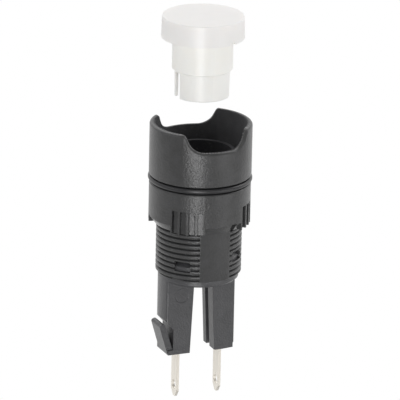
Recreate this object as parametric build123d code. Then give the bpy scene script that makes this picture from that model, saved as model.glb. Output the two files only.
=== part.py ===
"""Guarded round pushbutton switch for a 16 mm panel hole, its lens pulled off and held above the guard.

Millimetres. The origin is on the button's axis, in the plane where the gasket meets the panel.
+Z points out of the panel towards the lens, -Y is the side with the flat on the thread.
"""
from math import atan2, cos, degrees, sin, sqrt
import os

from build123d import *

# Barrel: the guard collar in front of the panel and the threaded tube behind it
thread_d = 15.9
thread_length = 17.5
thread_lead = 0.25
barrel_wall = 1.4
flat_depth = 0.48
guard_shoulder = 1.55
guard_wall = 1.05
guard_height = 9.86
guard_floor_thickness = 1.26
guard_rim_round = 0.42
guard_foot_round = 0.2
scoop_depth = 3.25
scoop_half_width_rim = 5.9
scoop_half_width_bottom = 4.6
scoop_corner_r = 2.8
scoop_shoulder_r = 0.6

# Windows in the barrel wall: angle from the front, and middle height above the end of the thread
window_width = 3.1
window_height = 1.9
window_places = [(-45.0, 2.8), (41.0, 4.05), (135.0, 2.8), (-139.0, 4.05)]

# Gasket and ring nut
gasket_thickness = 1.34
gasket_proud = 0.15
gasket_round = 0.4
gasket_bead_relief = 0.2
gasket_bead_width = 0.8
nut_inset = 0.075
nut_height = 7.9
nut_clearance = 0.06
nut_edge_round = 0.3
nut_grip_zones = 4
nut_grip_turn = -36.4
nut_zone_half_angle = 20.8
nut_flutes = 4
nut_flute_step = 10.2
nut_flute_width = 1.22
nut_flute_depth = 0.5
nut_flute_length = 4.4
nut_slot_width = 0.16
nut_slot_depth = 0.85
nut_bevel_height = 1.4
nut_bevel_width = 1.05
nut_notch_angle = 20.5
nut_notch_width = 1.3
nut_notch_height = 1.55
nut_parting_angles = (-16.3, 163.7)
nut_parting_width = 0.2
nut_parting_height = 0.06

# Button travel: the contacts meet first, then the bridge's spring gives
contact_travel = 2.0
contact_overtravel = 1.0
pressed_clearance = 0.2

# Lens: a cap, a legend plate and a stem, held above their seat by lens_lift
lens_lift = 21.9
cap_clearance = 0.75
cap_height = 4.0
cap_draft = 0.12
cap_wall = 1.0
cap_top_wall = 1.1
cap_edge_round = 0.22
cap_notch_angle = 23.0
cap_notch_width = 1.3
cap_notch_height = 0.45
legend_clearance = 0.05
holder_rim_height = 2.1
holder_floor = 1.0
stem_length = 6.2
stem_wall = 0.6
spigot_step = 0.525
spigot_draft = 0.075
spigot_length = 5.0
slit_width = 1.9
slit_angles = (-87.0, -139.0)
slit_top_land = 0.25

# Plunger
plunger_clearance = 0.1
plunger_wall = 0.725
socket_clearance = 0.1
plunger_floor = 1.0
hook_width = 2.2
hook_reach = 0.42
hook_height = 1.7
hook_clearance = 0.12
hook_slit = 0.5

# Slider, contact bridge and springs
slider_disc_d = 7.4
slider_disc_thickness = 0.8
post_d = 2.6
post_tip = 0.8
contact_spring_length = 2.8
contact_spring_wire = 0.3
contact_spring_d = 4.2
contact_spring_turns = 4
bridge_overhang = 0.85
bridge_width = 4.0
bridge_thickness = 0.4
bridge_corner_r = 0.5
bridge_clearance = 0.1
contact_x = 3.35
contact_d = 1.5
contact_height = 0.5
clip_d = 4.4
clip_thickness = 0.4
clip_mouth = 1.5
return_spring_wire = 0.35
return_spring_d = 4.2
return_spring_turns = 5

# Terminals
terminal_x = 4.2
terminal_thickness = 0.5
terminal_width = 2.6
tab_length = 9.0
tip_height = 1.25
tip_width = 0.7
tab_hole_d = 1.7
tab_hole_above_tip = 2.3
tongue_width = 2.2
tongue_length = 1.95
bend_r = 0.3

# Terminal carrier: the plug inside the barrel, the collar under it and the two legs
plug_clearance = 0.08
plug_rim_wall = 0.8
plug_rim_height = 5.2
well_clearance = 0.35
well_floor_thickness = 1.5
collar_height = 1.2
collar_edge = 0.35
leg_half_depth = 2.7
leg_offset = 0.3
leg_length = 14.3
leg_edge_round = 0.15
leg_corner_round = 0.5
left_leg_inner_top_x = -1.64
left_leg_inner_bottom_x = -2.3
left_leg_core_inset = 1.77
left_leg_shoulder_drop = 7.3
left_leg_core_drop = 9.3
arm_half_depth = 2.1
arm_thickness = 1.1
arm_root_inset = 0.77
arm_tip_proud = 0.5
arm_tip_height = 5.9
arm_tip_round = 0.46
arm_gap_height = 0.9
right_leg_inner_top_x = 1.95
right_leg_inner_bottom_x = 2.6
right_leg_inset = 0.99
right_leg_step = 0.18
right_leg_step_height = 1.1
right_leg_heel = 0.15
channel_front = 0.0
channel_width = 1.5
channel_depth = 1.3
nose_side_clearance = 0.2
nose_top_clearance = 0.35
nose_reach = 0.95
nose_root = 0.3

# Cutters run past the faces they cut by this much, and joined solids reach into each other
overshoot = 1.0

# Places and radii that follow from the sizes above
thread_r = thread_d / 2
thread_bottom = -thread_length
bore_r = thread_r - barrel_wall
flat_distance = thread_r - flat_depth
guard_r = thread_r + guard_shoulder
guard_bore_r = guard_r - guard_wall
guard_floor = gasket_thickness + guard_floor_thickness
guard_top = gasket_thickness + guard_height
scoop_bottom = guard_top - scoop_depth
gasket_r = guard_r + gasket_proud
nut_r = guard_r - nut_inset
nut_bore_r = thread_r + nut_clearance

press_travel = contact_travel + contact_overtravel
lens_seat = guard_floor + press_travel + pressed_clearance
lens_z = lens_seat + lens_lift
cap_r = guard_bore_r - cap_clearance
cap_bore_r = cap_r - cap_wall
cap_ceiling = lens_z + cap_height - cap_top_wall
plunger_r = bore_r - plunger_clearance
socket_r = plunger_r - plunger_wall
stem_r = socket_r - socket_clearance
spigot_r = stem_r - spigot_step
stem_bottom = lens_z - stem_length
spigot_bottom = stem_bottom - spigot_length
socket_step = lens_seat - stem_length - socket_clearance
socket_floor = socket_step - spigot_length - socket_clearance
plunger_bottom = socket_floor - plunger_floor
hook_top = plunger_bottom + hook_height

slider_bottom = plunger_bottom - slider_disc_thickness
bridge_top = slider_bottom - contact_spring_length
bridge_bottom = bridge_top - bridge_thickness
clip_bottom = bridge_bottom - clip_thickness
fixed_contact_top = bridge_bottom - contact_height - contact_travel
tongue_top = fixed_contact_top - contact_height
tongue_bottom = tongue_top - terminal_thickness

plug_r = bore_r - plug_clearance
collar_bottom = thread_bottom - collar_height
leg_top = collar_bottom + collar_height / 2
leg_bottom = collar_bottom - leg_length
well_floor = collar_bottom + well_floor_thickness
left_leg_core_x = left_leg_core_inset - flat_distance
arm_root_x = arm_root_inset - flat_distance
arm_tip_x = -thread_r - arm_tip_proud
arm_gap_bottom = leg_bottom + arm_gap_height
right_leg_outer_x = flat_distance - right_leg_inset
tab_inner_x = terminal_x - terminal_thickness / 2
tab_outer_x = terminal_x + terminal_thickness / 2
tab_tip = leg_bottom - tab_length


def tube(outer_r, inner_r, low, high):
    """Straight tube on the axis between two heights."""
    wall = Circle(outer_r) - Circle(inner_r)
    return Pos(0, 0, low) * extrude(wall, high - low)


def disc(radius, low, high):
    """Solid cylinder on the axis between two heights."""
    return Pos(0, 0, low) * extrude(Circle(radius), high - low)


def block(x_low, x_high, y_low, y_high, low, high):
    """Box between two corners."""
    size = Box(x_high - x_low, y_high - y_low, high - low)
    return Pos((x_low + x_high) / 2, (y_low + y_high) / 2, (low + high) / 2) * size


def radial_block(angle, width, r_low, r_high, low, high):
    """Box that points outwards at an angle counted from the front (-Y) towards +X."""
    return Rot(0, 0, angle) * block(-width / 2, width / 2, -r_high, -r_low, low, high)


def outline(*points):
    """Flat face inside a closed run of straight lines."""
    return make_face(Polyline(*points, close=True))


def across(face, half_depth):
    """A face drawn in X and Z, extruded to both sides of the XZ plane."""
    return extrude(Plane.XZ * face, half_depth, both=True)


def turned(points, angle=360.0, start=0.0):
    """Outline in radius and height, turned about the axis from a start angle counted as in radial_block."""
    return Rot(0, 0, start - 90) * revolve(Plane.XZ * outline(*points), Axis.Z, angle)


def rounded(face, x, y, radius):
    """Round the corners of a flat face that lie at x, y; None stands for any value."""
    corners = [
        v for v in face.vertices()
        if (x is None or abs(v.X - x) < 1e-6) and (y is None or abs(v.Y - y) < 1e-6)
    ]
    return fillet(corners, radius)


def upright(shape, x_low, x_high):
    """Long edges that run up or nearly up, with their middle between two places in X."""
    return [
        e for e in shape.edges()
        if abs((e % 0.5).Z) > 0.9 and e.length > leg_length / 3 and x_low < (e @ 0.5).X < x_high
    ]


def edges_on_radius(shape, radius, low, high):
    """Edges that lie on a cylinder of this radius, between two heights."""
    found = []
    for edge in shape.edges():
        samples = [edge @ t for t in (0, 0.25, 0.5, 0.75, 1)]
        on_wall = all(abs(sqrt(p.X ** 2 + p.Y ** 2) - radius) < 1e-3 for p in samples)
        if on_wall and all(low - 1e-3 < p.Z < high + 1e-3 for p in samples):
            found.append(edge)
    return found


def coil(outer_d, wire, low, high, turns):
    """Compression spring whose end turns touch both heights."""
    height = high - low - wire
    path = Pos(0, 0, low + wire / 2) * Helix(height / turns, height, (outer_d - wire) / 2)
    return sweep(Plane(path @ 0, z_dir=path % 0) * Circle(wire / 2), path=path, is_frenet=True)


def make_scoop_cutter():
    """Everything above the wavy rim: finger scoops cut straight through the guard, front and rear."""
    far = 2 * guard_r
    face = outline(
        (-far, guard_top),
        (-scoop_half_width_rim, guard_top),
        (-scoop_half_width_bottom, scoop_bottom),
        (scoop_half_width_bottom, scoop_bottom),
        (scoop_half_width_rim, guard_top),
        (far, guard_top),
        (far, guard_top + far),
        (-far, guard_top + far),
    )
    face = rounded(face, None, scoop_bottom, scoop_corner_r)
    for side in (-1, 1):
        face = rounded(face, side * scoop_half_width_rim, guard_top, scoop_shoulder_r)
    return across(face, far)


def make_barrel():
    """Guard collar, panel shoulder and threaded tube, moulded in one piece."""
    body = tube(guard_r, guard_bore_r, guard_floor, guard_top + overshoot)
    body += tube(guard_r, bore_r, gasket_thickness, guard_floor)
    body -= make_scoop_cutter()
    body = fillet(edges_on_radius(body, guard_r, scoop_bottom, guard_top), guard_rim_round)
    body = fillet(edges_on_radius(body, guard_r, gasket_thickness, gasket_thickness), guard_foot_round)
    neck = tube(thread_r, bore_r, thread_bottom, gasket_thickness)
    neck = chamfer(edges_on_radius(neck, thread_r, thread_bottom, thread_bottom), thread_lead)
    neck -= block(-guard_r, guard_r, -guard_r, -flat_distance, thread_bottom - overshoot, 0)
    body += neck
    for angle, height in window_places:
        low = thread_bottom + height - window_height / 2
        body -= radial_block(angle, window_width, bore_r - overshoot, guard_r, low, low + window_height)
    groove_r = plunger_r + hook_reach + hook_clearance
    groove_top = hook_top + hook_clearance
    groove_width = hook_width + 2 * hook_clearance
    for side in (90, -90):
        body -= radial_block(
            side, groove_width, bore_r - overshoot, groove_r, thread_bottom - overshoot, groove_top)
    return body


def make_gasket():
    """Sealing ring between the guard's shoulder and the panel, with a rounded bead outside."""
    ring = tube(gasket_r - gasket_bead_width, nut_bore_r, 0, gasket_thickness)
    bead = tube(gasket_r, nut_bore_r, gasket_bead_relief, gasket_thickness - gasket_bead_relief)
    return ring + fillet(edges_on_radius(bead, gasket_r, 0, gasket_thickness), gasket_round)


def make_ring_nut():
    """Ring nut with grip zones of slotted flutes, bevelled below between them, and two parting lines."""
    nut = tube(nut_r, nut_bore_r, -nut_height, 0)
    nut = fillet(edges_on_radius(nut, nut_r, 0, 0), nut_edge_round)
    bevel = [
        (nut_r - nut_bevel_width, -nut_height - overshoot),
        (nut_r - nut_bevel_width, -nut_height),
        (nut_r, -nut_height + nut_bevel_height),
        (nut_r + overshoot, -nut_height + nut_bevel_height),
        (nut_r + overshoot, -nut_height - overshoot),
    ]
    zone_step = 360 / nut_grip_zones
    plain_angle = zone_step - 2 * nut_zone_half_angle
    below = -nut_height - overshoot
    for angle in nut_parting_angles:
        nut += radial_block(
            angle, nut_parting_width, nut_bore_r + nut_parting_height, nut_r + nut_parting_height,
            -nut_height, -nut_edge_round)
    flute_bottom_r = nut_r - nut_flute_depth
    for zone in range(nut_grip_zones):
        middle = nut_grip_turn + zone * zone_step
        nut -= turned(bevel, plain_angle, middle + nut_zone_half_angle)
        for flute in range(nut_flutes):
            angle = middle + (flute - (nut_flutes - 1) / 2) * nut_flute_step
            nut -= radial_block(
                angle, nut_flute_width, flute_bottom_r, nut_r + overshoot,
                below, nut_flute_length - nut_height)
            for side in (-1, 1):
                slot = block(
                    -nut_slot_width / 2, nut_slot_width / 2,
                    -nut_r - overshoot, nut_slot_depth - nut_r,
                    below, nut_flute_length - nut_height)
                nut -= Rot(0, 0, angle) * Pos(side * (nut_flute_width - nut_slot_width) / 2, 0, 0) * slot
    nut -= radial_block(
        nut_notch_angle, nut_notch_width, nut_bore_r - overshoot, nut_r + overshoot,
        below, nut_notch_height - nut_height)
    return nut


def make_lens_cap():
    """Milky cap: a shallow cup with its mouth down and a small notch for prying it off its holder."""
    top = lens_z + cap_height
    top_r = cap_r - cap_draft
    cap = turned([(0, lens_z), (cap_r, lens_z), (top_r, top), (0, top)])
    cap = fillet(edges_on_radius(cap, top_r, top, top), cap_edge_round)
    cap -= disc(cap_bore_r, lens_z - overshoot, cap_ceiling)
    return cap - radial_block(
        cap_notch_angle, cap_notch_width, cap_bore_r - overshoot, cap_r + overshoot,
        lens_z - overshoot, lens_z + cap_notch_height)


def make_legend_plate():
    """Plain diffusing plate clamped between the cap and its holder."""
    return disc(cap_bore_r - legend_clearance, lens_z + holder_rim_height, cap_ceiling)


def make_lens_holder():
    """Hollow stem that carries the cap and plugs into the plunger, with one sprung finger."""
    lead = spigot_step / 2
    holder = disc(cap_bore_r, lens_z, lens_z + holder_rim_height)
    holder += turned([
        (0, lens_z),
        (stem_r, lens_z),
        (stem_r, stem_bottom + lead),
        (stem_r - lead, stem_bottom),
        (spigot_r, stem_bottom),
        (spigot_r - spigot_draft, spigot_bottom),
        (0, spigot_bottom),
    ])
    light_r = spigot_r - stem_wall
    holder -= disc(stem_r, lens_z + holder_floor, lens_z + holder_rim_height + overshoot)
    holder -= disc(light_r, spigot_bottom - overshoot, lens_z + holder_floor + overshoot)
    for angle in slit_angles:
        holder -= radial_block(
            angle, slit_width, light_r - overshoot, stem_r,
            spigot_bottom - overshoot, stem_bottom - slit_top_land)
    return holder


def make_plunger():
    """Socket for the lens stem, with sprung hooks that catch in the barrel's grooves."""
    plunger = disc(plunger_r, plunger_bottom, lens_seat)
    plunger -= disc(socket_r, socket_step, lens_seat + overshoot)
    plunger -= disc(spigot_r + socket_clearance, socket_floor, lens_seat + overshoot)
    hook_r = plunger_r + hook_reach
    for side in (90, -90):
        hook = radial_block(side, hook_width, plunger_r - overshoot, hook_r, plunger_bottom, hook_top)
        plunger += hook & disc(hook_r, plunger_bottom, hook_top)
        for edge in (-1, 1):
            slit = block(
                -hook_slit / 2, hook_slit / 2,
                -plunger_r - overshoot, -spigot_r,
                plunger_bottom + plunger_floor, hook_top + overshoot)
            plunger -= Rot(0, 0, side) * Pos(edge * (hook_width + hook_slit) / 2, 0, 0) * slit
    return plunger


def make_slider():
    """Disc and post that carry the contact bridge under the plunger."""
    slider = disc(slider_disc_d / 2, slider_bottom, plunger_bottom)
    return slider + disc(post_d / 2, clip_bottom - post_tip, slider_bottom)


def make_bridge():
    """Copper strip that joins the fixed contacts when it comes down."""
    half_length = contact_x + bridge_overhang
    strip = block(-half_length, half_length, -bridge_width / 2, bridge_width / 2, bridge_bottom, bridge_top)
    strip = fillet(strip.edges().filter_by(Axis.Z), bridge_corner_r)
    return strip - disc(post_d / 2 + bridge_clearance, bridge_bottom - overshoot, bridge_top + overshoot)


def make_contact(side, low):
    """Round silver contact button, left or right of the axis."""
    return Pos(side * contact_x, 0, 0) * disc(contact_d / 2, low, low + contact_height)


def make_clip():
    """Open snap ring on the post that keeps the bridge from falling off."""
    ring = tube(clip_d / 2, post_d / 2, clip_bottom, bridge_bottom)
    return ring - block(
        0, clip_d, -clip_mouth / 2, clip_mouth / 2, clip_bottom - overshoot, bridge_bottom + overshoot)


def make_terminal(side):
    """Stamped solder tab: its bent tongue carries a fixed contact, and its pointed tip has a hole."""
    tongue_end = tab_outer_x - tongue_length
    strip = outline(
        (tongue_end, tongue_top),
        (tab_outer_x, tongue_top),
        (tab_outer_x, collar_bottom),
        (tab_inner_x, collar_bottom),
        (tab_inner_x, tongue_bottom),
        (tongue_end, tongue_bottom),
    )
    strip = rounded(strip, tab_outer_x, tongue_top, bend_r + terminal_thickness)
    strip = rounded(strip, tab_inner_x, tongue_bottom, bend_r)
    half_width = terminal_width / 2
    half_tip = tip_width / 2
    blade = outline(
        (-half_width, collar_bottom),
        (half_width, collar_bottom),
        (half_width, tab_tip + tip_height),
        (half_tip, tab_tip),
        (-half_tip, tab_tip),
        (-half_width, tab_tip + tip_height),
    )
    blade -= Pos(0, tab_tip + tab_hole_above_tip) * Circle(tab_hole_d / 2)
    terminal = across(strip, tongue_width / 2)
    terminal += Pos(tab_inner_x, 0, 0) * extrude(Plane.YZ * blade, terminal_thickness)
    return terminal if side > 0 else mirror(terminal, Plane.YZ)


def make_left_leg():
    """Leg with a latch arm that springs out from its foot."""
    core = across(outline(
        (-flat_distance, leg_top),
        (left_leg_inner_top_x, leg_top),
        (left_leg_inner_top_x, collar_bottom),
        (left_leg_inner_bottom_x, leg_bottom),
        (arm_root_x, leg_bottom),
        (arm_root_x, arm_gap_bottom),
        (left_leg_core_x, arm_gap_bottom),
        (left_leg_core_x, collar_bottom - left_leg_core_drop),
        (-flat_distance, collar_bottom - left_leg_shoulder_drop),
    ), leg_half_depth)
    core = Pos(0, leg_offset, 0) * core & disc(flat_distance, leg_bottom, leg_top)
    core = fillet(upright(core, -flat_distance, left_leg_core_x), leg_corner_round)
    core = fillet(upright(core, left_leg_core_x, 0), leg_edge_round)
    arm_tip = leg_bottom + arm_tip_height
    lean = atan2(arm_root_x - arm_tip_x, arm_tip_height)
    inner_tip = (arm_tip_x + arm_thickness * cos(lean), arm_tip + arm_thickness * sin(lean))
    arm = outline(
        (arm_tip_x, arm_tip),
        (arm_root_x, leg_bottom),
        (left_leg_core_x, leg_bottom),
        (left_leg_core_x, arm_gap_bottom),
        inner_tip,
    )
    arm = rounded(arm, arm_tip_x, arm_tip, arm_tip_round)
    arm = rounded(arm, inner_tip[0], inner_tip[1], arm_tip_round)
    return core + across(arm, arm_half_depth)


def make_right_leg():
    """Leg with an open channel down its inner face."""
    step_x = right_leg_outer_x - right_leg_step
    leg = across(outline(
        (right_leg_inner_top_x, leg_top),
        (right_leg_outer_x, leg_top),
        (right_leg_outer_x, leg_bottom + right_leg_step_height),
        (step_x, leg_bottom + right_leg_step_height),
        (step_x, leg_bottom + right_leg_heel),
        (terminal_x, leg_bottom),
        (right_leg_inner_bottom_x, leg_bottom),
        (right_leg_inner_top_x, collar_bottom),
    ), leg_half_depth)
    leg = Pos(0, leg_offset, 0) * fillet(upright(leg, 0, flat_distance), leg_edge_round)
    channel = outline(
        (0, collar_bottom),
        (right_leg_inner_top_x + channel_depth, collar_bottom),
        (right_leg_inner_bottom_x + channel_depth, leg_bottom),
        (right_leg_inner_bottom_x + channel_depth, leg_bottom - overshoot),
        (0, leg_bottom - overshoot),
    )
    return leg - Pos(0, channel_front, 0) * extrude(Plane.XZ * channel, -channel_width)


def make_nose(angle, height):
    """Snap nose in one window: it slopes where it enters the barrel, and its flat lower side holds."""
    low = thread_bottom + height - window_height / 2
    high = low + window_height - nose_top_clearance
    nose_angle = degrees((window_width - 2 * nose_side_clearance) / bore_r)
    ramp = [
        (plug_r - nose_root, low),
        (bore_r + nose_reach, low),
        (bore_r + nose_reach, (low + high) / 2),
        (bore_r, high),
        (plug_r - nose_root, high),
    ]
    return turned(ramp, nose_angle, angle - nose_angle / 2)


def make_carrier():
    """Plug, collar and legs in one moulding that snaps into the barrel from below."""
    carrier = disc(flat_distance, collar_bottom, thread_bottom)
    carrier = chamfer(edges_on_radius(carrier, flat_distance, collar_bottom, collar_bottom), collar_edge)
    carrier += disc(plug_r, thread_bottom, tongue_bottom)
    carrier += tube(plug_r, plug_r - plug_rim_wall, tongue_bottom, thread_bottom + plug_rim_height)
    carrier -= disc(return_spring_d / 2 + well_clearance, well_floor, tongue_bottom + overshoot)
    for angle, height in window_places:
        carrier += make_nose(angle, height)
    carrier += make_left_leg()
    carrier += make_right_leg()
    for side in (-1, 1):
        carrier -= make_terminal(side)
    return carrier


def save(name, shape):
    """Write one piece to its own STEP file."""
    export_step(shape, "parts/" + name + ".step")


def main():
    os.makedirs("parts", exist_ok=True)
    save("barrel", make_barrel())
    save("gasket", make_gasket())
    save("ring_nut", make_ring_nut())
    save("lens_cap", make_lens_cap())
    save("legend_plate", make_legend_plate())
    save("lens_holder", make_lens_holder())
    save("plunger", make_plunger())
    save("bridge_slider", make_slider())
    save("contact_bridge", make_bridge())
    save("bridge_clip", make_clip())
    save("contact_spring", coil(
        contact_spring_d, contact_spring_wire, bridge_top, slider_bottom, contact_spring_turns))
    save("return_spring", coil(
        return_spring_d, return_spring_wire, well_floor, clip_bottom, return_spring_turns))
    save("terminal_carrier", make_carrier())
    for side, name in ((-1, "left"), (1, "right")):
        save("bridge_contact_" + name, make_contact(side, bridge_bottom - contact_height))
        save("fixed_contact_" + name, make_contact(side, tongue_top))
        save("terminal_" + name, make_terminal(side))


main()
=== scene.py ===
"""The looks of the guarded pushbutton switch: finishes, the cut thread, light and camera.

The frame is in metres, +Z points out of the panel and -Y is the side with the flat on the thread.
"""
from math import cos, pi, radians, sin

import bmesh
import bpy
from mathutils import Matrix, Vector


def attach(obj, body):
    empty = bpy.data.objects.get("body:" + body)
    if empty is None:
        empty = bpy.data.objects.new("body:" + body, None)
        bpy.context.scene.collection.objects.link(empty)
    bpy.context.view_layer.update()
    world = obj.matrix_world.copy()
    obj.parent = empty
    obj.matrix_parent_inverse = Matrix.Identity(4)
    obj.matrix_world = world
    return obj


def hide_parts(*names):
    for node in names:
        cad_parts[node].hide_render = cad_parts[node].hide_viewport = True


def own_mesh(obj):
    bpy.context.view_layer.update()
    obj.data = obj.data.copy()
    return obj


MM = 0.001

# Points nearer than this are merged, and an edge bent more than this shows as a crease
WELD = 1e-7
CREASE = radians(28)

# The thread, cut into the barrel. Angles are counted from the front (-Y) towards +X
THREAD_CREST_R = 7.95 * MM
THREAD_ROOT_R = 7.45 * MM
THREAD_PITCH = 1.0 * MM
THREAD_TOP = -1.05 * MM
THREAD_TURNS = 17
THREAD_STARTS_RIGHT_OF_FLAT = radians(23.4)
THREAD_ENDS_LEFT_OF_FLAT = radians(21.0)
STEPS_A_TURN = 96

# The finish of the grey nylon, and the finer grain of the guard's core
NYLON_ROUGHNESS = 0.33
GRAIN_MM = 0.35
CORE_GRAIN_MM = 0.22

# The floors of the nut's flutes: their finish, and the radius out to which they reach
FLUTE_ROUGHNESS = 0.22
FLUTE_GRAIN = 0.3
FLUTE_FLOOR_R = 9.1 * MM
FLUTE_FLOOR_BLEND = 0.1 * MM

# The ejector pin's mark on the left leg
PIN_MARK = Vector((-4.13, -2.4, -21.5)) * MM
PIN_MARK_R = 1.4 * MM
PIN_MARK_EDGE = 0.08 * MM
PIN_MARK_DEPTH = 0.09 * MM

# Within this radius above the panel, the inside of the guard takes painted shade: a darker nylon
GUARD_INSIDE_R = 8.7 * MM

# The camera, at the photograph's viewpoint
CAMERA_AZIMUTH = radians(-23.05)
CAMERA_ELEVATION = radians(18.66)
CAMERA_ROLL = radians(1.21)
CAMERA_DISTANCE = 1116 * MM
CAMERA_AIM = Vector((0.19, 0.24, -4.12)) * MM
CAMERA_LENS_MM = 543.15
SENSOR_MM = 36.0

# The floor ends short of the camera, so the front of the switch mirrors the dim room
AWAY = Vector((-sin(CAMERA_AZIMUTH), cos(CAMERA_AZIMUTH), 0))
ASIDE = Vector((cos(CAMERA_AZIMUTH), sin(CAMERA_AZIMUTH), 0))
FLOOR_DROP = 0.16
FLOOR_IN_FRONT = 0.15
FLOOR_BEHIND = 3.0
FLOOR_HALF_WIDTH = 0.42

# The white sheet behind, by the cosine of the angle to AWAY, and the dim room all round
SHEET_ENDS = -0.1
SHEET_IS_FULL = 0.5
ROOM_LIGHT = 0.3

# The paper close under the switch lies in its shade
SHADE_FROM_R = 0.06
SHADE_TO_R = 0.22
SHADE_LIGHT = 0.35


def colour(hex_code):
    """The linear colour that a socket takes, from an sRGB hex value."""
    parts = [int(hex_code[i:i + 2], 16) / 255 for i in (1, 3, 5)]
    linear = [c / 12.92 if c <= 0.04045 else ((c + 0.055) / 1.055) ** 2.4 for c in parts]
    return (*linear, 1.0)


def add(tree, kind, links=None, **settings):
    """Add one shader node. links maps an input to (node, output), settings set the rest."""
    node = tree.nodes.new("ShaderNode" + kind)
    for name, value in settings.items():
        if hasattr(node, name):
            setattr(node, name, value)
        else:
            node.inputs[name.replace("_", " ")].default_value = value
    for name, (source, output) in (links or {}).items():
        tree.links.new(source.outputs[output], node.inputs[name])
    return node


def new_material(name):
    """An empty material with its node tree, its output and Object coordinates."""
    made = bpy.data.materials.new(name)
    made.use_nodes = True
    tree = made.node_tree
    tree.nodes.clear()
    out = add(tree, "OutputMaterial")
    place = add(tree, "TexCoord")
    return made, tree, out, place


def moulded_nylon(name, base, light, roughness, grain_mm, gloss=0.5):
    """Glass-filled nylon from a spark-eroded mould: satin, finely grained, slightly mottled."""
    # The grain of such a mould is 0.05 to 0.1 mm, too fine to show, so grain_mm is drawn coarser
    made, tree, out, place = new_material(name)
    mottle = add(tree, "TexNoise", {"Vector": (place, "Object")}, Scale=1 / (1.8 * MM), Detail=4.0)
    tone = add(tree, "ValToRGB", {"Fac": (mottle, "Fac")})
    tone.color_ramp.elements[0].position = 0.3
    tone.color_ramp.elements[0].color = colour(base)
    tone.color_ramp.elements[1].position = 0.72
    tone.color_ramp.elements[1].color = colour(light)
    grain = add(
        tree, "TexNoise", {"Vector": (place, "Object")}, Scale=1 / (grain_mm * MM), Detail=3.0)
    round_edge = add(tree, "Bevel", Radius=0.09 * MM)
    bump = add(
        tree, "Bump", {"Height": (grain, "Fac"), "Normal": (round_edge, "Normal")},
        Strength=1.0, Distance=0.07 * MM)
    shader = add(
        tree, "BsdfPrincipled", {"Base Color": (tone, 0), "Normal": (bump, "Normal")},
        Roughness=roughness, IOR=1.53, Specular_IOR_Level=gloss)
    tree.links.new(shader.outputs[0], out.inputs["Surface"])
    return made


def polish_flutes(material):
    """The flutes' floors come off polished mould steel, so they shine more than the rest."""
    tree = material.node_tree
    shader = tree.nodes["Principled BSDF"]
    place = add(tree, "TexCoord")
    flat_place = add(tree, "VectorMath", {0: (place, "Object")}, operation="MULTIPLY")
    flat_place.inputs[1].default_value = (1, 1, 0)
    off_axis = add(tree, "VectorMath", {0: (flat_place, 0)}, operation="LENGTH")
    finishes = (
        (FLUTE_ROUGHNESS, NYLON_ROUGHNESS, shader.inputs["Roughness"]),
        (FLUTE_GRAIN, 1.0, tree.nodes["Bump"].inputs["Strength"]),
    )
    for on_floors, elsewhere, socket in finishes:
        finish = add(tree, "MapRange", {"Value": (off_axis, "Value")})
        finish.inputs["From Min"].default_value = FLUTE_FLOOR_R
        finish.inputs["From Max"].default_value = FLUTE_FLOOR_R + FLUTE_FLOOR_BLEND
        finish.inputs["To Min"].default_value = on_floors
        finish.inputs["To Max"].default_value = elsewhere
        tree.links.new(finish.outputs[0], socket)


def press_pin_mark(material):
    """The round witness mark that an ejector pin leaves on the front of the left leg."""
    tree = material.node_tree
    shader = tree.nodes["Principled BSDF"]
    place = add(tree, "TexCoord")
    away = add(tree, "VectorMath", {0: (place, "Object")}, operation="DISTANCE")
    away.inputs[1].default_value = PIN_MARK
    disc = add(tree, "MapRange", {"Value": (away, "Value")}, interpolation_type="SMOOTHSTEP")
    disc.inputs["From Min"].default_value = PIN_MARK_R - PIN_MARK_EDGE
    disc.inputs["From Max"].default_value = PIN_MARK_R + PIN_MARK_EDGE
    bump = add(tree, "Bump", {"Height": (disc, 0)}, Distance=PIN_MARK_DEPTH)
    tree.links.new(shader.inputs["Normal"].links[0].from_socket, bump.inputs["Normal"])
    tree.links.new(bump.outputs[0], shader.inputs["Normal"])


def seal_rubber():
    """EPDM rubber, compression moulded: soft sheen, no grain, a trace of bloom."""
    made, tree, out, place = new_material("epdm_rubber")
    bloom = add(tree, "TexNoise", {"Vector": (place, "Object")}, Scale=1 / (2.5 * MM), Detail=5.0)
    tone = add(tree, "ValToRGB", {"Fac": (bloom, "Fac")})
    tone.color_ramp.elements[0].color = colour("#232325")
    tone.color_ramp.elements[1].color = colour("#2c2c2e")
    fine = add(tree, "TexNoise", {"Vector": (place, "Object")}, Scale=1 / (0.3 * MM))
    bump = add(tree, "Bump", {"Height": (fine, "Fac")}, Strength=0.15, Distance=0.03 * MM)
    shader = add(
        tree, "BsdfPrincipled", {"Base Color": (tone, 0), "Normal": (bump, "Normal")},
        Roughness=0.36, IOR=1.52)
    tree.links.new(shader.outputs[0], out.inputs["Surface"])
    return made


def milky_plastic(name, base, light, depth_mm):
    """Opal polycarbonate: light enters and scatters inside, under a smooth moulded skin."""
    made, tree, out, place = new_material(name)
    cloud = add(tree, "TexNoise", {"Vector": (place, "Object")}, Scale=1 / (4.0 * MM), Detail=3.0)
    tone = add(tree, "ValToRGB", {"Fac": (cloud, "Fac")})
    tone.color_ramp.elements[0].color = colour(base)
    tone.color_ramp.elements[1].color = colour(light)
    round_edge = add(tree, "Bevel", Radius=0.1 * MM)
    shader = add(
        tree, "BsdfPrincipled", {"Base Color": (tone, 0), "Normal": (round_edge, "Normal")},
        Roughness=0.38, IOR=1.58, Subsurface_Weight=0.6, Subsurface_Scale=depth_mm * MM)
    shader.inputs["Subsurface Radius"].default_value = (1.0, 0.95, 0.9)
    tree.links.new(shader.outputs[0], out.inputs["Surface"])
    return made


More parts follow.
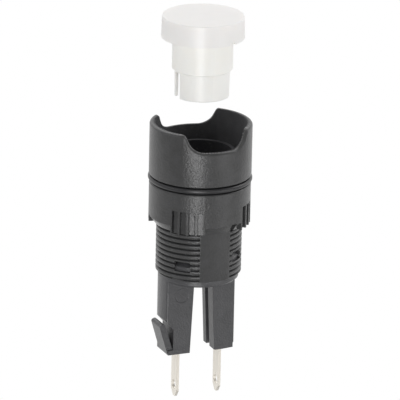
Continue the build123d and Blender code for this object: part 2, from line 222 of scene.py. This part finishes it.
def rolled_metal(name, base, light, roughness, streak_mm, metallic=1.0):
    """Rolled strip or drawn wire: fine streaks along its length in colour and gloss."""
    made, tree, out, place = new_material(name)
    stretch = add(tree, "Mapping", {"Vector": (place, "Object")})
    stretch.inputs["Scale"].default_value = (1.0, 1.0, 0.08)
    streaks = add(
        tree, "TexNoise", {"Vector": (stretch, 0)}, Scale=1 / (streak_mm * MM), Detail=4.0)
    tone = add(tree, "ValToRGB", {"Fac": (streaks, "Fac")})
    tone.color_ramp.elements[0].position = 0.3
    tone.color_ramp.elements[0].color = colour(base)
    tone.color_ramp.elements[1].position = 0.75
    tone.color_ramp.elements[1].color = colour(light)
    gloss = add(tree, "MapRange", {"Value": (streaks, "Fac")})
    gloss.inputs["To Min"].default_value = roughness - 0.06
    gloss.inputs["To Max"].default_value = roughness + 0.08
    bump = add(tree, "Bump", {"Height": (streaks, "Fac")}, Strength=0.12, Distance=0.02 * MM)
    shader = add(
        tree, "BsdfPrincipled",
        {"Base Color": (tone, 0), "Roughness": (gloss, 0), "Normal": (bump, "Normal")},
        Metallic=metallic)
    tree.links.new(shader.outputs[0], out.inputs["Surface"])
    return made


def paint(node, material):
    """Give a piece one material on all its slots."""
    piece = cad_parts[node] if isinstance(node, str) else node
    if not piece.data.materials:
        piece.data.materials.append(material)
    for slot in piece.material_slots:
        slot.material = material


def mesh_piece(name, bm):
    """A new object at the origin from a bmesh."""
    mesh = bpy.data.meshes.new(name)
    bm.to_mesh(mesh)
    bm.free()
    made = bpy.data.objects.new(name, mesh)
    bpy.context.scene.collection.objects.link(made)
    return made


def thread_groove():
    """One groove a turn, each from the right edge of the flat round to its left edge."""
    bm = bmesh.new()
    out = THREAD_CREST_R + 0.25 * MM
    lip = THREAD_CREST_R - 0.07 * MM
    # Radius, and height in pitches: a narrow root, steep flanks and a crest with broken edges
    profile = [
        (THREAD_ROOT_R, -0.05), (THREAD_ROOT_R, 0.05), (lip, 0.18), (THREAD_CREST_R, 0.25),
        (out, 0.36), (out, -0.36), (THREAD_CREST_R, -0.25), (lip, -0.18),
    ]
    sweep = 2 * pi - THREAD_STARTS_RIGHT_OF_FLAT - THREAD_ENDS_LEFT_OF_FLAT
    steps = round(STEPS_A_TURN * sweep / (2 * pi))
    rise = THREAD_PITCH * sweep / (2 * pi) / steps
    first = THREAD_STARTS_RIGHT_OF_FLAT - pi / 2
    for turn in range(THREAD_TURNS):
        low = THREAD_TOP - THREAD_PITCH * (turn + 1)
        corners = [
            bm.verts.new((r * cos(first), r * sin(first), low + z * THREAD_PITCH))
            for r, z in profile]
        face = bm.faces.new(corners)
        bmesh.ops.spin(
            bm, geom=[face], cent=(0, 0, 0), axis=(0, 0, 1), angle=sweep, steps=steps,
            dvec=(0, 0, rise), use_duplicate=False)
        bm.faces.new([bm.verts.new(v.co) for v in reversed(corners)])
    bmesh.ops.remove_doubles(bm, verts=bm.verts, dist=WELD)
    bmesh.ops.recalc_face_normals(bm, faces=bm.faces)
    return mesh_piece("groove", bm)


def threaded_barrel():
    """The barrel with its thread cut, in place of the plain CAD one."""
    bm = bmesh.new()
    bm.from_mesh(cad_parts["barrel"].data)
    bmesh.ops.remove_doubles(bm, verts=bm.verts, dist=WELD)
    barrel = mesh_piece("threaded_barrel", bm)
    groove = thread_groove()
    cut = barrel.modifiers.new("thread", "BOOLEAN")
    cut.operation = "DIFFERENCE"
    cut.solver = "EXACT"
    cut.object = groove
    cut_barrel = barrel.evaluated_get(bpy.context.evaluated_depsgraph_get())
    finished = bpy.data.meshes.new_from_object(cut_barrel)
    barrel.modifiers.clear()
    barrel.data = finished
    bpy.data.objects.remove(groove)
    finished.polygons.foreach_set("use_smooth", [True] * len(finished.polygons))
    finished.set_sharp_from_angle(angle=CREASE)
    barrel.data.materials.clear()
    for material in (grey_nylon, painted_shade_nylon):
        barrel.data.materials.append(material)
    # Faces inside the guard above the panel take the darker nylon, as painted shade
    for face in finished.polygons:
        x, y, z = face.center
        face.material_index = 1 if z > 0 and x * x + y * y < GUARD_INSIDE_R ** 2 else 0
    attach(barrel, "housing")
    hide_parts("barrel")


def crushing_spring(node, body):
    """A copy of a spring with a mesh of its own, on its body in place of the CAD piece."""
    bm = bmesh.new()
    bm.from_mesh(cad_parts[node].data)
    bmesh.ops.remove_doubles(bm, verts=bm.verts, dist=WELD)
    spring = mesh_piece(node + "_wire", bm)
    spring.data.polygons.foreach_set("use_smooth", [True] * len(spring.data.polygons))
    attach(spring, body)
    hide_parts(node)
    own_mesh(spring)
    return spring


def soft_lamp(name, azimuth, elevation, distance, width, height, power):
    """A softbox aimed at the middle of the switch. Azimuth is counted as the camera's is."""
    a, e = radians(azimuth), radians(elevation)
    back = Vector((sin(a) * cos(e), -cos(a) * cos(e), sin(e)))
    lamp = bpy.data.lights.new(name, "AREA")
    lamp.shape = "RECTANGLE"
    lamp.size = width
    lamp.size_y = height
    lamp.energy = power
    made = bpy.data.objects.new(name, lamp)
    made.location = back * distance
    made.rotation_mode = "QUATERNION"
    made.rotation_quaternion = back.to_track_quat("Z", "Y")
    bpy.context.scene.collection.objects.link(made)


def studio_world():
    """White to the camera, with a white sheet behind the switch and a dim room in front."""
    world = bpy.data.worlds.new("studio")
    bpy.context.scene.world = world
    world.use_nodes = True
    tree = world.node_tree
    tree.nodes.clear()
    place = add(tree, "TexCoord")
    behind = add(tree, "VectorMath", {0: (place, "Generated")}, operation="DOT_PRODUCT")
    behind.inputs[1].default_value = AWAY
    sheet = add(tree, "MapRange", {"Value": (behind, "Value")})
    sheet.inputs["From Min"].default_value = SHEET_ENDS
    sheet.inputs["From Max"].default_value = SHEET_IS_FULL
    sheet.inputs["To Min"].default_value = ROOM_LIGHT
    path = add(tree, "LightPath")
    seen = add(
        tree, "Math", {0: (path, "Is Camera Ray"), 1: (path, "Is Transmission Ray")},
        operation="MAXIMUM")
    strength = add(tree, "Math", {0: (sheet, 0), 1: (seen, 0)}, operation="MAXIMUM")
    white = add(tree, "Background", {"Strength": (strength, 0)})
    white.inputs["Color"].default_value = colour("#ffffff")
    out = add(tree, "OutputWorld")
    tree.links.new(white.outputs[0], out.inputs["Surface"])


def floor():
    """A sheet of matt white paper well below the tabs. Gloss sees the switch's shade on it."""
    made, tree, out, place = new_material("matt_white_paper")
    fibre = add(tree, "TexNoise", {"Vector": (place, "Object")}, Scale=1 / (11 * MM))
    tone = add(tree, "ValToRGB", {"Fac": (fibre, "Fac")})
    tone.color_ramp.elements[0].color = colour("#f4f4f2")
    tone.color_ramp.elements[1].color = colour("#fafaf8")
    paper = add(tree, "BsdfDiffuse", {"Color": (tone, 0)})
    flat_place = add(tree, "VectorMath", {0: (place, "Object")}, operation="MULTIPLY")
    flat_place.inputs[1].default_value = (1, 1, 0)
    away = add(tree, "VectorMath", {0: (flat_place, 0)}, operation="LENGTH")
    shade = add(tree, "MapRange", {"Value": (away, "Value")})
    shade.inputs["From Min"].default_value = SHADE_FROM_R
    shade.inputs["From Max"].default_value = SHADE_TO_R
    shade.inputs["To Min"].default_value = SHADE_LIGHT
    path = add(tree, "LightPath")
    lit = add(tree, "Math", {0: (shade, 0), 1: (path, "Is Camera Ray")}, operation="MAXIMUM")
    white = add(tree, "Emission", {"Strength": (lit, 0)})
    seen = add(
        tree, "Math", {0: (path, "Is Camera Ray"), 1: (path, "Is Glossy Ray")},
        operation="MAXIMUM")
    any_seen = add(
        tree, "Math", {0: (seen, 0), 1: (path, "Is Transmission Ray")}, operation="MAXIMUM")
    mix = add(tree, "MixShader", {0: (any_seen, 0), 1: (paper, 0), 2: (white, 0)})
    tree.links.new(mix.outputs[0], out.inputs["Surface"])
    bm = bmesh.new()
    down = Vector((0, 0, -FLOOR_DROP))
    front, back = -AWAY * FLOOR_IN_FRONT + down, AWAY * FLOOR_BEHIND + down
    side = ASIDE * FLOOR_HALF_WIDTH
    corners = (front - side, front + side, back + side, back - side)
    bm.faces.new([bm.verts.new(corner) for corner in corners])
    sheet = mesh_piece("floor", bm)
    paint(sheet, made)


def camera():
    """The photograph's view."""
    a, e = CAMERA_AZIMUTH, CAMERA_ELEVATION
    back = Vector((sin(a) * cos(e), -cos(a) * cos(e), sin(e)))
    right = Vector((cos(a), sin(a), 0))
    up = back.cross(right)
    tilted_right = right * cos(CAMERA_ROLL) + up * sin(CAMERA_ROLL)
    tilted_up = up * cos(CAMERA_ROLL) - right * sin(CAMERA_ROLL)
    data = bpy.data.cameras.new("camera")
    data.sensor_width = SENSOR_MM
    data.lens = CAMERA_LENS_MM
    data.clip_start = 0.05
    data.clip_end = 20
    made = bpy.data.objects.new("camera", data)
    bpy.context.scene.collection.objects.link(made)
    turn = Matrix((tilted_right, tilted_up, back)).transposed()
    made.matrix_world = Matrix.Translation(CAMERA_AIM + back * CAMERA_DISTANCE) @ turn.to_4x4()
    bpy.context.scene.camera = made


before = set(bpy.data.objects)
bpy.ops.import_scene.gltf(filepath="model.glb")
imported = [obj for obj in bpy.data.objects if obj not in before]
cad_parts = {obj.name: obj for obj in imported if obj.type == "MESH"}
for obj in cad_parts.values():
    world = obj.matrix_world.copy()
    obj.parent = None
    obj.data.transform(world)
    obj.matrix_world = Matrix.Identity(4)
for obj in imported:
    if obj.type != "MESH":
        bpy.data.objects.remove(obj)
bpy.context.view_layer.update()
bpy.context.scene.view_settings.view_transform = "Standard"

# Glass-filled nylon, moulded: a soft broad highlight that breaks up in the grain
grey_nylon = moulded_nylon("satin_grey_nylon", "#393939", "#414142", NYLON_ROUGHNESS, GRAIN_MM)
# The same on the nut, whose flute floors come off polished steel and flash where they face a lamp
nut_nylon = moulded_nylon("fluted_grey_nylon", "#393939", "#414142", NYLON_ROUGHNESS, GRAIN_MM)
polish_flutes(nut_nylon)
# The same on the carrier, painted a step lighter as painted light from below, with the faint ring
# that an ejector pin leaves
carrier_nylon_painted_light = moulded_nylon("pin_marked_nylon_painted_light", "#414143", "#49494b", NYLON_ROUGHNESS, GRAIN_MM)
press_pin_mark(carrier_nylon_painted_light)
# The inside of the guard, off a rougher core: matt, with its colour painted darker than the
# outside nylon as painted shade for the deep well
painted_shade_nylon = moulded_nylon(
    "matt_nylon_painted_shade", "#313133", "#373739", 0.7, CORE_GRAIN_MM, gloss=0.2)
# The plunger and slider, matt moulded nylon: hardly any sheen down in the well. Their black is
# painted lighter than the grey outside, as painted light in the shaded well
painted_light_nylon = moulded_nylon("matt_nylon_painted_light", "#3f3f41", "#454547", 0.8, GRAIN_MM, gloss=0.2)
# Moulded EPDM: darker than the nylon, with a low waxy sheen along its bead
rubber = seal_rubber()
# Opal polycarbonate, moulded: light goes in and comes back soft, so shade hardly shows on it
opal_cap = milky_plastic("opal_cap", "#f3f0ed", "#f8f5f3", 1.2)
opal_stem = milky_plastic("opal_stem", "#f8f5ef", "#fbf9f4", 1.0)
opal_plate = milky_plastic("opal_plate", "#f3f3f1", "#f8f8f6", 0.8)
# Stamped brass strip with a bright tin plate: pale and warm, with the streaks of rolling along it
tinned_brass = rolled_metal("tinned_brass", "#e4ded3", "#f1ece3", 0.32, 0.5, metallic=0.55)
# Drawn stainless spring wire: a thin bright line along each turn
spring_wire = rolled_metal("drawn_spring_wire", "#9b9b9c", "#b4b4b5", 0.25, 0.2)
# Rolled phosphor bronze: a warm brown shine
bronze_strip = rolled_metal("rolled_bronze", "#b98a58", "#cf9f69", 0.28, 0.3)
# Headed silver alloy, almost a mirror
silver_alloy = rolled_metal("polished_silver", "#d6d6d4", "#e6e6e4", 0.18, 0.3)

threaded_barrel()
paint("terminal_carrier", carrier_nylon_painted_light)
paint("ring_nut", nut_nylon)
for node in ("plunger", "bridge_slider"):
    paint(node, painted_light_nylon)
paint("gasket", rubber)
paint("lens_cap", opal_cap)
paint("lens_holder", opal_stem)
paint("legend_plate", opal_plate)
for side in ("left", "right"):
    paint("terminal_" + side, tinned_brass)
    paint("bridge_contact_" + side, silver_alloy)
    paint("fixed_contact_" + side, silver_alloy)
paint("contact_bridge", bronze_strip)
paint("bridge_clip", spring_wire)
return_wire = crushing_spring(
    "return_spring", "housing")
contact_wire = crushing_spring(
    "contact_spring", "button")
paint(return_wire, spring_wire)
paint(contact_wire, spring_wire)

studio_world()
floor()
# Name, azimuth and elevation in degrees, distance, width and height in metres, power in watts
soft_lamp("front_box", -29, -9, 0.9, 0.32, 0.5, 3.4)
soft_lamp("left_box", -90, 20, 1.0, 0.4, 0.4, 1.1)
soft_lamp("side_box", 85, 30, 1.0, 0.4, 0.5, 1.8)
soft_lamp("right_box", 30, -8, 1.0, 0.8, 0.4, 1.6)
soft_lamp("back_box", 165, 50, 0.9, 0.5, 0.4, 1.3)
soft_lamp("top_box", -20, 60, 0.9, 0.4, 0.4, 0.7)
camera()
